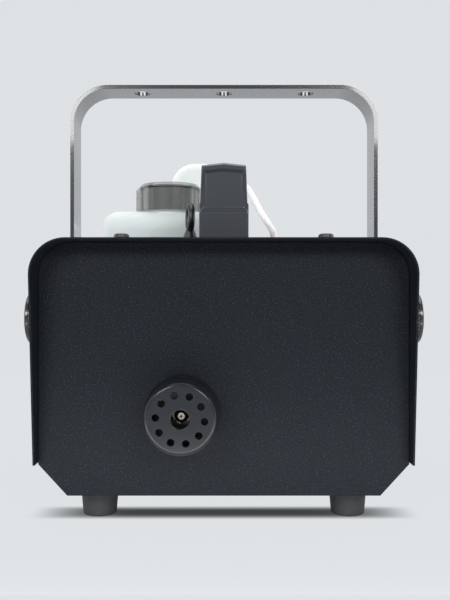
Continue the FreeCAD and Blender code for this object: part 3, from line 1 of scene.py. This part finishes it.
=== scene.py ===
# %% [markdown]
# # A compact stage fog machine
# The machine's frame is already designed: a folded hood over a case, a tank, a carry
# handle and a hanging bracket. This file dresses that frame. It gives every part its
# paint, plastic or metal, and models again the few pieces whose soft edges matter most.

# %% Load the frame
import json
import math

import bmesh
import bpy
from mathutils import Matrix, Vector


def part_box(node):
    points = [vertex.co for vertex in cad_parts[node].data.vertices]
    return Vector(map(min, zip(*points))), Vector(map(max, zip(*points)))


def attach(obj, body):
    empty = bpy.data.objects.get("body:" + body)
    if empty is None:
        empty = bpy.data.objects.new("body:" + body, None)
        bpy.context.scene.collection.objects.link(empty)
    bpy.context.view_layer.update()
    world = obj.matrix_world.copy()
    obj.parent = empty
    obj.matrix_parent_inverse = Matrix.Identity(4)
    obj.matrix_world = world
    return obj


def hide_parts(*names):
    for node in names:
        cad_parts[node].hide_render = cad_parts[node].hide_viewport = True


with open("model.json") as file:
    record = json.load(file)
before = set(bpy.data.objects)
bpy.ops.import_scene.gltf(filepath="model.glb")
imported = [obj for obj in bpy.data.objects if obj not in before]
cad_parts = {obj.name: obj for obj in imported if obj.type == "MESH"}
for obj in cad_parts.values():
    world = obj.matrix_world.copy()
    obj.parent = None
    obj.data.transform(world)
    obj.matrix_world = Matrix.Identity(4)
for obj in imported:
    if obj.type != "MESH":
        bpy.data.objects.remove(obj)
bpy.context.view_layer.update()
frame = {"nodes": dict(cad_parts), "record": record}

nodes = frame["nodes"]

# %% [markdown]
# ## The camera
# A product picture of a box is taken from straight ahead, with the lens a little below
# the middle of the machine, so that the front panel keeps its square corners. A lens of
# about 45 mm, less than half a metre from the hood, still shows the inside of its lip.

# %% Camera
FRONT_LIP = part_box("hood")[0][1]
LENS = 45.56
DISTANCE = 0.465
EYE_HEIGHT = 0.1425
EYE_SIDE = 0.0008
SENSOR = 36.0

camera_data = bpy.data.cameras.new("camera")
camera_data.lens = LENS
camera_data.sensor_width = SENSOR
camera_data.clip_start = 0.01
camera = bpy.data.objects.new("camera", camera_data)
camera.location = (EYE_SIDE, FRONT_LIP - DISTANCE, EYE_HEIGHT)
camera.rotation_euler = (math.radians(90), 0, 0)
bpy.context.collection.objects.link(camera)
bpy.context.scene.camera = camera
print("camera", [round(v, 3) for v in camera.location])

# %% [markdown]
# ## Writing shaders as sums
# A node tree is only arithmetic drawn as boxes. `Value` wraps one output socket and
# overloads Python's operators, so `1 - mask * 0.4` adds the Math nodes it needs.
# `Finish` starts a material from plain numbers and lets patterns feed it afterwards.

# %% Shader helpers
class Value:
    """One output of a node. Python's operators on it add Math nodes."""

    def __init__(self, finish, socket):
        self.finish, self.socket = finish, socket

    def maths(self, operation, *terms):
        return self.finish.node("ShaderNodeMath", {"operation": operation}, *terms)

    def __add__(self, other):
        return self.maths("ADD", self, other)

    def __radd__(self, other):
        return self.maths("ADD", other, self)

    def __sub__(self, other):
        return self.maths("SUBTRACT", self, other)

    def __rsub__(self, other):
        return self.maths("SUBTRACT", other, self)

    def __mul__(self, other):
        return self.maths("MULTIPLY", self, other)

    def __rmul__(self, other):
        return self.maths("MULTIPLY", other, self)

    def __pow__(self, other):
        return self.maths("POWER", self, other)

    def above(self, limit, soft):
        """0 well under the limit and 1 well over it."""
        settings = {"interpolation_type": "SMOOTHSTEP"}
        return self.finish.node("ShaderNodeMapRange", settings, self,
                                limit - soft, limit + soft, 0.0, 1.0)


class Finish:
    """A material: plain numbers on the shader, then patterns that feed it."""

    made = {}

    def __init__(self, name, colour, roughness, **sockets):
        self.material = bpy.data.materials.new(name)
        self.material.use_nodes = True
        self.tree = self.material.node_tree
        self.shader = self.tree.nodes["Principled BSDF"]
        self.colour = (*colour, 1.0)
        self.set("Base Color", self.colour)
        self.set("Roughness", roughness)
        for socket, number in sockets.items():
            self.set(socket.replace("_", " ").title().replace("Ior", "IOR"), number)
        Finish.made[name] = self

    def set(self, socket, number):
        self.shader.inputs[socket].default_value = number

    def node(self, kind, settings, *terms, out=0, **named):
        """Adds a node: its settings first, then its inputs in order or by name."""
        node = self.tree.nodes.new(kind)
        for key, setting in settings.items():
            setattr(node, key, setting)
        pairs = list(zip(node.inputs, terms))
        pairs += [(node.inputs[key], term) for key, term in named.items()]
        for socket, term in pairs:
            if isinstance(term, Value):
                self.tree.links.new(term.socket, socket)
            elif term is not None:
                socket.default_value = term
        return Value(self, node.outputs[out])

    def place(self):
        """Object coordinates."""
        return self.node("ShaderNodeTexCoord", {}, out=3)

    def stretched(self, scale):
        return self.node("ShaderNodeMapping", {}, self.place(), Scale=scale)

    def noise(self, scale, detail=3.0, rough=0.5, at=None):
        return self.node("ShaderNodeTexNoise", {}, Vector=at or self.place(),
                         Scale=scale, Detail=detail, Roughness=rough)

    def mix(self, factor, first, second):
        """Blends two colours."""
        node = self.tree.nodes.new("ShaderNodeMix")
        node.data_type = "RGBA"
        for socket, term in zip((node.inputs[0], node.inputs[6], node.inputs[7]),
                                (factor, first, second)):
            if isinstance(term, Value):
                self.tree.links.new(term.socket, socket)
            else:
                socket.default_value = term
        return Value(self, node.outputs[2])

    def shade(self, factor, amount):
        """The finish's own colour, darker or lighter where the factor is high."""
        other = tuple(min(1.0, c * amount) for c in self.colour[:3]) + (1.0,)
        return self.mix(factor, self.colour, other)

    def feed(self, socket, value):
        self.tree.links.new(value.socket, self.shader.inputs[socket])
        return self

    def bump(self, height, strength, depth, under=None):
        bump = self.node("ShaderNodeBump", {}, Strength=strength, Distance=depth,
                         Height=height, Normal=under)
        self.feed("Normal", bump)
        return bump

    def edges(self, radius):
        """A normal that rounds sharp edges by a radius."""
        return self.node("ShaderNodeBevel", {"samples": 4}, radius)


print("shader helpers ready")

# %% [markdown]
# ## Paint
# The case is powder coated. The powder melts into a skin with a fine leathery grain, so
# the colour is nearly even and the grain lives in the bump and in small changes of
# gloss. Two sizes of noise do that: one for the grain and one for handling marks. A
# Bevel node rounds the sheet's sharp edges for the light, without changing the mesh.

# %% Painted metal
PAINT_EDGE = 0.0007
HANDLING_SIZE = 9.0


def powder_coat(name, colour, roughness, grain, depth, speck, **sockets):
    paint = Finish(name, colour, roughness, **sockets)
    fine = paint.noise(grain, 2.0, 0.55)
    cloud = paint.noise(HANDLING_SIZE, 3.0, 0.6)
    sparkle = fine.above(0.60, 0.06)
    paint.feed("Base Color", paint.shade(sparkle * 0.9 + cloud * 0.15, speck))
    paint.feed("Roughness", roughness - 0.06 + cloud * 0.12 + fine * 0.08)
    paint.bump(fine, 0.5, depth, paint.edges(PAINT_EDGE))
    return paint


black_coat = powder_coat("black_powder", (0.0085, 0.0105, 0.0135), 0.46, 900.0,
                         0.00010, 2.8, specular_ior_level=0.10)
bracket_coat = powder_coat("bracket_paint", (0.022, 0.025, 0.031), 0.24, 500.0,
                           0.000002, 1.12, specular_ior_level=0.5, coat_weight=1.0,
                           coat_ior=1.5, coat_roughness=0.07)
guard_coat = powder_coat("guard_paint", (0.0095, 0.0115, 0.0145), 0.26, 1300.0,
                         0.00001, 1.5, specular_ior_level=0.25, coat_weight=0.3,
                         coat_roughness=0.10)
print("paints:", [coat.material.name for coat in (black_coat, bracket_coat, guard_coat)])

# %% [markdown]
# ## Metals
# Bright hardware is turned or rolled, and its fine scratches run one way. Stretching
# the noise along one axis gives those scratches. Black zinc on the screws is duller,
# and every metal gets darker stains at random.

# %% Bare metals
METAL_EDGE = 0.0003
SCRATCH_DEPTH = 0.00005


def metal(name, colour, roughness, stretch=(1, 1, 1), grain=600.0):
    bare = Finish(name, colour, roughness, metallic=1.0)
    line = bare.noise(grain, 3.0, 0.6, bare.stretched(stretch))
    stain = bare.noise(30.0, 3.0, 0.6)
    bare.feed("Roughness", roughness - 0.08 + line * 0.16 + stain * 0.08)
    bare.feed("Base Color", bare.shade(stain * 0.7, 0.72))
    bare.bump(line, 0.25, SCRATCH_DEPTH, bare.edges(METAL_EDGE))
    return bare


metal("steel", (0.56, 0.56, 0.57), 0.30, (1, 1, 12))
metal("bare_steel", (0.50, 0.51, 0.53), 0.36, (1, 10, 1), 300.0)
metal("zinc_black", (0.10, 0.10, 0.11), 0.38)
metal("brass", (0.60, 0.54, 0.44), 0.24, (1, 14, 1))
metal("cast_aluminium", (0.50, 0.50, 0.51), 0.48, (1, 1, 1), 420.0)
print("metals:", len(Finish.made))

# %% [markdown]
# ## Plastics and rubber
# Moulded plastic carries the fine spark-eroded grain of its mould. The tank and the
# hose let light in, which subsurface scattering shows. Only the fuse's glass has
# transmission. The smoky cap is dark and partly see-through, under a glossy coat.

# %% Plastics
PLASTIC_EDGE = 0.0005


def moulded(name, colour, roughness, grain=900.0, depth=0.00006, **sockets):
    plastic = Finish(name, colour, roughness, **sockets)
    fine = plastic.noise(grain, 2.0, 0.5)
    hand = plastic.noise(14.0, 3.0, 0.6)
    plastic.feed("Roughness", roughness - 0.05 + hand * 0.1 + fine * 0.05)
    plastic.feed("Base Color", plastic.shade(hand * 0.5, 1.25))
    plastic.bump(fine, 0.4, depth, plastic.edges(PLASTIC_EDGE))
    return plastic


moulded("handle_plastic", (0.033, 0.038, 0.046), 0.34, specular_ior_level=0.4,
        coat_weight=0.5, coat_roughness=0.16)
moulded("knob_plastic", (0.022, 0.023, 0.025), 0.28, coat_weight=0.6,
        coat_roughness=0.10)
moulded("foot_rubber", (0.022, 0.022, 0.023), 0.72, 500.0)
moulded("seal_rubber", (0.05, 0.05, 0.05), 0.6)
moulded("socket_plastic", (0.028, 0.028, 0.03), 0.34)
moulded("rocker_plastic", (0.30, 0.018, 0.015), 0.28)
moulded("bakelite", (0.045, 0.038, 0.032), 0.32)
moulded("white_plastic", (0.78, 0.78, 0.75), 0.42)
moulded("wire_jacket", (0.05, 0.05, 0.06), 0.4)
moulded("circuit_board", (0.02, 0.16, 0.07), 0.3, 300.0)
moulded("tank_plastic", (0.88, 0.88, 0.87), 0.46, 350.0, 0.0001,
        subsurface_weight=0.25, subsurface_scale=0.01)
moulded("hose_tube", (0.90, 0.91, 0.91), 0.25, 200.0,
        subsurface_weight=0.25, subsurface_scale=0.004)
moulded("cap_plastic", (0.050, 0.046, 0.042), 0.16, 260.0, 0.00003, alpha=0.42,
        coat_weight=1.0, coat_roughness=0.06)
moulded("fuse_glass", (0.9, 0.95, 0.95), 0.05, 200.0, transmission_weight=0.9)
print("finishes:", len(Finish.made))

# %% [markdown]
# ## Glass cloth
# The heater block is lagged in woven glass tape. There is one band pattern along each
# axis, and on a face square to the third axis the other two cross like warp and weft.

# %% Woven lagging
WEAVE_SCALE = 240.0
WEAVE_DEPTH, CLOTH_EDGE = 0.0004, 0.0008


def woven(name, colour, roughness):
    cloth = Finish(name, colour, roughness, sheen_weight=0.4)
    bands = [cloth.node("ShaderNodeTexWave", {"bands_direction": axis},
                        Vector=cloth.place(), Scale=WEAVE_SCALE, Distortion=0.6)
             for axis in "XYZ"]
    weave = bands[0] * bands[1] + bands[1] * bands[2] + bands[2] * bands[0]
    worn = cloth.noise(40.0, 3.0, 0.6)
    cloth.feed("Base Color", cloth.shade(weave * 0.35 + worn * 0.4, 0.7))
    cloth.bump(weave, 0.6, WEAVE_DEPTH, cloth.edges(CLOTH_EDGE))
    return cloth


woven("glass_wrap", (0.72, 0.68, 0.58), 0.8)
print("weave scale:", WEAVE_SCALE)

# %% [markdown]
# ## Dressing the frame
# Each part of the frame knows its material slot. The finish of the same name goes on
# it, and the mesh itself stays as it was designed.

# %% Finishes on the parts
slot_of = {row["node"]: row["material_slot"] for row in frame["record"]["subparts"]}


def dress(part, finish):
    part.data.materials.clear()
    part.data.materials.append(finish.material)


for name, part in nodes.items():
    dress(part, Finish.made[slot_of[name]])
print("dressed", len(nodes), "parts")

# %% [markdown]
# ## The carry handle
# A moulded handle has no sharp edge. It is an arch seen from the side, a little
# narrower towards its top, with a ledge half way up and a shallow panel sunk in each
# end. The outline is walked once, its width follows its height, and a bevel rounds
# every edge that turns by more than 25 degrees. The top has a low ridge along it.

# %% Handle
LEG, GRIP_BAR = 0.025, 0.021
LEDGE_SHARE, LEDGE_DEEP, LEDGE_HIGH = 0.48, 0.0008, 0.001
CROWN, ROOF = 0.030, 0.0016
PANEL_DROP, PANEL_RIM, PANEL_DEEP = 0.0055, 0.0031, 0.0018
OUTER_ROUND, INNER_ROUND, ROUND_STEPS, LEG_STEPS = 0.0035, 0.010, 6, 3
RIDGE_BAND = 0.004
EDGE_ROUND, EDGE_STEPS, EDGE_TURN = 0.0014, 3, 25
SAME_PLACE = 1e-5


def arc(centre, radius, start, stop, steps):
    """Points on an arc in the side view, with angles in degrees."""
    for step in range(steps + 1):
        turn = math.radians(start + (stop - start) * step / steps)
        yield (centre[0] + radius * math.cos(turn), centre[1] + radius * math.sin(turn))


def handle_side(low, high, ledge):
    """The arch seen from the side, as pairs of outer and inner points."""
    front, back, foot, top = low[1], high[1], low[2], high[2] - ROOF
    under = high[2] - GRIP_BAR
    heights = [foot, ledge - PANEL_DROP, ledge, ledge + LEDGE_HIGH]
    outer = [(front, z) for z in heights]
    inner = [(front + LEG, foot + (under - INNER_ROUND - foot) * k / LEG_STEPS)
             for k in range(LEG_STEPS + 1)]
    outer += arc((front + OUTER_ROUND, top - OUTER_ROUND), OUTER_ROUND, 180, 90,
                 ROUND_STEPS)
    inner += arc((front + LEG + INNER_ROUND, under - INNER_ROUND), INNER_ROUND,
                 180, 90, ROUND_STEPS)
    middle_y = (front + back) / 2

    def mirrored(line):
        return [(2 * middle_y - y, z) for y, z in reversed(line)]

    return list(zip(outer + mirrored(outer), inner + mirrored(inner)))


def handle_half_width(z, low, high, ledge):
    """Half of the handle's width at a height."""
    base = (high[0] - low[0]) / 2
    if z <= ledge + SAME_PLACE / 10:
        return base
    rise = (z - ledge - LEDGE_HIGH) / (high[2] - ROOF - ledge - LEDGE_HIGH)
    return (base - LEDGE_DEEP) + (CROWN / 2 - base + LEDGE_DEEP) * max(0.0, rise)


def make_handle():
    low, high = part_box("carry_handle")
    ledge = low[2] + LEDGE_SHARE * (high[2] - low[2])
    pairs = handle_side(low, high, ledge)
    mesh = bmesh.new()
    rows = []
    for pair in pairs:
        row = []
        for (y, z), crowned in zip(pair, (True, False)):
            half = handle_half_width(z, low, high, ledge)
            peak = ROOF if crowned and z > high[2] - ROOF - RIDGE_BAND else 0.0
            row.append([mesh.verts.new((-half, y, z)), mesh.verts.new((0, y, z + peak)),
                        mesh.verts.new((half, y, z))])
        rows.append(row)
    for (outer, inner), (outer_next, inner_next) in zip(rows, rows[1:]):
        for k in (0, 1):
            mesh.faces.new((outer[k], outer_next[k], outer_next[k + 1], outer[k + 1]))
            mesh.faces.new((inner[k + 1], inner_next[k + 1], inner_next[k], inner[k]))
        mesh.faces.new((outer[0], inner[0], inner_next[0], outer_next[0]))
        mesh.faces.new((outer[2], outer_next[2], inner_next[2], inner[2]))
    for (outer, inner) in (rows[0], rows[-1]):
        mesh.faces.new((*outer, *reversed(inner)))
    bmesh.ops.recalc_face_normals(mesh, faces=mesh.faces)
    return mesh, ledge


def round_edges(piece, width, segments, angle):
    """Rounds a piece's sharp edges with a bevel and keeps its flats flat."""
    bevel = piece.modifiers.new("round", "BEVEL")
    bevel.width, bevel.segments = width, segments
    bevel.limit_method = "ANGLE"
    bevel.angle_limit = math.radians(angle)
    bevel.harden_normals = True
    for face in piece.data.polygons:
        face.use_smooth = True


def add_piece(name, mesh, finish):
    data = bpy.data.meshes.new(name)
    mesh.to_mesh(data)
    mesh.free()
    piece = bpy.data.objects.new(name, data)
    bpy.context.collection.objects.link(piece)
    dress(piece, Finish.made[finish])
    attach(piece, "case")
    return piece


handle_mesh, ledge = make_handle()
front = min(v.co.y for v in handle_mesh.verts)
back = max(v.co.y for v in handle_mesh.verts)
ends = [f for f in handle_mesh.faces
        if abs(f.normal.y) > 0.99 and f.calc_center_median().z > ledge - PANEL_DROP
        and min(abs(f.calc_center_median().y - y) for y in (front, back)) < SAME_PLACE]
bmesh.ops.inset_region(handle_mesh, faces=ends, thickness=PANEL_RIM, depth=-PANEL_DEEP,
                       use_even_offset=True)
handle = add_piece("handle_moulding", handle_mesh, "handle_plastic")
round_edges(handle, EDGE_ROUND, EDGE_STEPS, EDGE_TURN)
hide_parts("carry_handle")
print("handle faces:", len(handle.data.polygons))

# %% [markdown]
# ## The fluid hose
# A hose is a tube swept along one smooth line. The control points follow the route it
# was designed with, to within half a millimetre: out of the tank's port, over and down
# through its gland, and on to the pump. A quadratic NURBS line guided by them bends
# evenly.

# %% Hose
HOSE_RADIUS = 0.003
HOSE_ROUTE = [(0.0080, 0.1145, 0.2550), (0.0190, 0.1135, 0.2525),
              (0.0265, 0.1070, 0.2405), (0.0335, 0.0925, 0.2230),
              (0.0400, 0.0740, 0.2100), (0.0440, 0.0600, 0.2010),
              (0.0444, 0.0601, 0.1660), (0.0520, 0.0640, 0.1520),
              (0.0620, 0.0720, 0.1380), (0.0620, 0.0720, 0.1210)]

hose_line = bpy.data.curves.new("hose_line", "CURVE")
hose_line.dimensions = "3D"
spline = hose_line.splines.new("NURBS")
spline.points.add(len(HOSE_ROUTE) - 1)
for point, place in zip(spline.points, HOSE_ROUTE):
    point.co = (*place, 1.0)
spline.order_u = 3
spline.use_endpoint_u = True
spline.resolution_u = 12
hose_line.bevel_depth = HOSE_RADIUS
hose_line.bevel_resolution = 5
hose_line.use_fill_caps = True
hose = bpy.data.objects.new("hose_run", hose_line)
bpy.context.collection.objects.link(hose)
dress(hose, Finish.made["hose_tube"])
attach(hose, "case")
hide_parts("fluid_hose")
print("hose points:", len(spline.points))

# %% [markdown]
# ## Studio
# The machine stands on a seamless pale sweep. A soft box overhead, two in front and one
# at each side light it, with a low strip in front that lifts the foot of the panel. The
# paper glows evenly, so it takes no real shadow, and the dark line of contact under the
# front feet is painted into it. That line stays where it is in every view and pose.

# %% Floor, light and colour
PALE = (0.716, 0.745, 0.766, 1.0)
FEET_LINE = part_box("foot_front_left")[0][1] + 0.012
SWEEP_FRONT, SWEEP_HALF, WALL_TOP = -4.0, 5.0, 4.0
CURVE_START, CURVE_RADIUS, CURVE_STEPS = 1.6, 0.9, 15
CONTACT_SHARP, CONTACT_REACH, CONTACT_DARK = 55.0, 7.6, 0.94
TENT_STRENGTH = 0.16


def make_sweep():
    """A floor that turns up into a wall, extruded from one line."""
    mesh = bmesh.new()
    line = [(SWEEP_FRONT, 0.0)]
    for step in range(CURVE_STEPS + 1):
        turn = math.radians(90 * step / CURVE_STEPS)
        line.append((CURVE_START + CURVE_RADIUS * math.sin(turn),
                     CURVE_RADIUS - CURVE_RADIUS * math.cos(turn)))
    line.append((CURVE_START + CURVE_RADIUS, WALL_TOP))
    verts = [mesh.verts.new((-SWEEP_HALF, y, z)) for y, z in line]
    run = [mesh.edges.new(pair) for pair in zip(verts, verts[1:])]
    made = bmesh.ops.extrude_edge_only(mesh, edges=run)["geom"]
    corners = [v for v in made if isinstance(v, bmesh.types.BMVert)]
    bmesh.ops.translate(mesh, verts=corners, vec=(2 * SWEEP_HALF, 0, 0))
    data = bpy.data.meshes.new("sweep")
    mesh.to_mesh(data)
    mesh.free()
    for face in data.polygons:
        face.use_smooth = True
    sweep = bpy.data.objects.new("sweep", data)
    bpy.context.collection.objects.link(sweep)
    return sweep


sweep = make_sweep()
paper = Finish("sweep_paper", (0.02, 0.02, 0.02), 0.9, specular_ior_level=0.0)
paper.set("Emission Strength", 1.0)
across = paper.node("ShaderNodeSeparateXYZ", {}, paper.place())
along = Value(paper, across.socket.node.outputs[1])
off_line = (along - FEET_LINE) * CONTACT_SHARP
off_end = (across * CONTACT_REACH) ** 4.0
contact = 1.0 - (off_line * off_line).above(0.45, 0.45)
contact = contact * (1.0 - off_end.above(0.5, 0.5))
paper.feed("Emission Color",
           paper.mix(contact * CONTACT_DARK, PALE, (0.0, 0.0, 0.0, 1.0)))
sweep.data.materials.append(paper.material)

world = bpy.data.worlds.new("tent")
bpy.context.scene.world = world
world.use_nodes = True
world.node_tree.nodes["Background"].inputs[0].default_value = PALE
world.node_tree.nodes["Background"].inputs[1].default_value = TENT_STRENGTH
bpy.context.scene.view_settings.view_transform = "Standard"


def soft_box(name, place, aim, size, power):
    light = bpy.data.lights.new(name, "AREA")
    light.shape = "RECTANGLE"
    light.size, light.size_y = size
    light.energy = power
    box = bpy.data.objects.new(name, light)
    box.location = place
    box.rotation_euler = (Vector(aim) - Vector(place)).to_track_quat(
        "-Z", "Y").to_euler()
    bpy.context.collection.objects.link(box)


soft_box("overhead", (0.0, 0.15, 1.5), (0, 0, 0.2), (1.4, 1.2), 13.0)
soft_box("key_left", (-0.75, -1.55, 0.82), (0, 0, 0.12), (0.8, 0.4), 12.5)
soft_box("key_right", (0.75, -1.55, 0.82), (0, 0, 0.12), (0.8, 0.4), 12.5)
soft_box("rim_left", (-1.2, 0.15, 0.35), (0, 0, 0.15), (0.9, 1.0), 7.0)
soft_box("rim_right", (1.2, 0.15, 0.35), (0, 0, 0.15), (0.9, 1.0), 7.0)
soft_box("bounce", (0.0, -0.24, 0.006), (0, -0.12, 0.035), (0.5, 0.05), 0.42)
